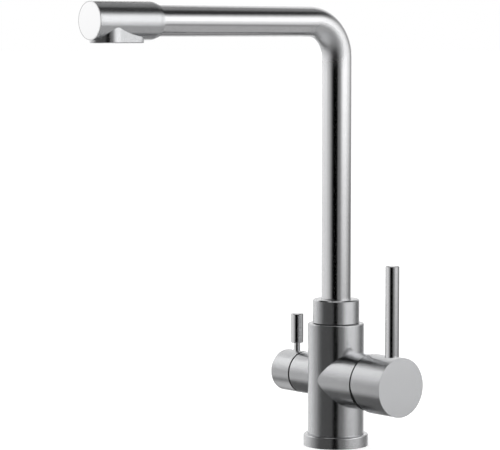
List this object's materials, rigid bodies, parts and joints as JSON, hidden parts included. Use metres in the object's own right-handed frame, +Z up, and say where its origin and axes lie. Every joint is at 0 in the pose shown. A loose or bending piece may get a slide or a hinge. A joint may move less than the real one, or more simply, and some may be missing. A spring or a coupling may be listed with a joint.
{
  "type": "mixer tap",
  "caption": "Tall kitchen mixer tap with a level swivel spout, a side lever mixer and a separate filtered-water valve opposite, both with pin levers, on a round deck flange.",
  "frame": {"origin": "on the body's upright axis, in the plane of the deck that the tap is bolted to", "axes": "+Z up along the body and the spout's riser, -Y along the spout, +X out of the mixer knob, -X out of the filter knob"},
  "size_m": [0.1474, 0.2812, 0.3728],
  "materials": {
    "satin_steel": "satin brushed stainless",
    "polished_steel": "finely brushed, near mirror",
    "turned_brass": "turned, uncoated",
    "black_rubber": "moulded",
    "white_acetal": "moulded",
    "dark_acetal": "moulded",
    "alumina_ceramic": "lapped",
    "clear_grey_plastic": "moulded",
    "plain_steel": "turned"
  },
  "bodies": {
    "root": {"body_casting": "satin_steel", "base_ring": "satin_steel", "base_gasket": "black_rubber", "cartridge_port_seal": "black_rubber", "cartridge_base": "white_acetal", "cartridge_housing": "white_acetal", "fixed_ceramic_disc": "alumina_ceramic", "cartridge_nut": "turned_brass", "cartridge_cover": "polished_steel", "filter_seat_seal": "black_rubber", "filter_valve_body": "turned_brass", "filter_fixed_disc": "alumina_ceramic", "spout_washer": "dark_acetal", "spout_catch_screw": "plain_steel"},
    "spout": {"spout_connector": "turned_brass", "spout_seals": "black_rubber", "spout_slide_ring": "white_acetal", "spout_collar": "satin_steel", "spout_tube": "polished_steel", "filtered_water_tube": "clear_grey_plastic", "filtered_tube_seal": "black_rubber", "outlet_head": "satin_steel", "head_end_cap": "satin_steel", "aerator_housing": "polished_steel", "aerator_insert": "white_acetal", "aerator_seal": "black_rubber", "filtered_water_nozzle": "clear_grey_plastic"},
    "mixer_rotor": {"cartridge_rotor": "white_acetal", "stem_pivot_pin": "plain_steel"},
    "mixer_handle": {"cartridge_stem": "plain_steel", "mixer_knob": "satin_steel", "mixer_lever": "polished_steel", "knob_grub_screw": "plain_steel"},
    "mixing_disc": {"moving_ceramic_disc": "alumina_ceramic", "disc_carrier": "dark_acetal"},
    "filter_handle": {"filter_spindle": "turned_brass", "filter_moving_disc": "alumina_ceramic", "filter_spindle_seal": "black_rubber", "filter_knob": "satin_steel", "filter_lever": "polished_steel", "filter_grub_screw": "plain_steel"}
  },
  "joints": [
    {"name": "spout_swivel", "type": "hinge", "parent": "root", "child": "spout", "pos_m": [0, 0, 0.104], "axis": [0, 0, 1], "continuous": true},
    {"name": "mixer_temperature", "type": "hinge", "parent": "root", "child": "mixer_rotor", "pos_m": [0.0365, 0, 0.0575], "axis": [1, 0, 0], "range_deg": [-45, 45]},
    {"name": "mixer_flow", "type": "hinge", "parent": "mixer_rotor", "child": "mixer_handle", "pos_m": [0.0365, 0, 0.0575], "axis": [0, 1, 0], "range_deg": [0, 12]},
    {"name": "mixing_disc_slide", "type": "slide", "parent": "mixer_rotor", "child": "mixing_disc", "axis": [0, 0, 1], "range_m": [0, 0.002]},
    {"name": "filter_turn", "type": "hinge", "parent": "root", "child": "filter_handle", "pos_m": [-0.05, 0, 0.0575], "axis": [1, 0, 0], "range_deg": [0, 90]}
  ],
  "couplings": [
    {"joint": "mixing_disc_slide", "follows": "mixer_flow", "m_per_rad": 0.009232}
  ]
}
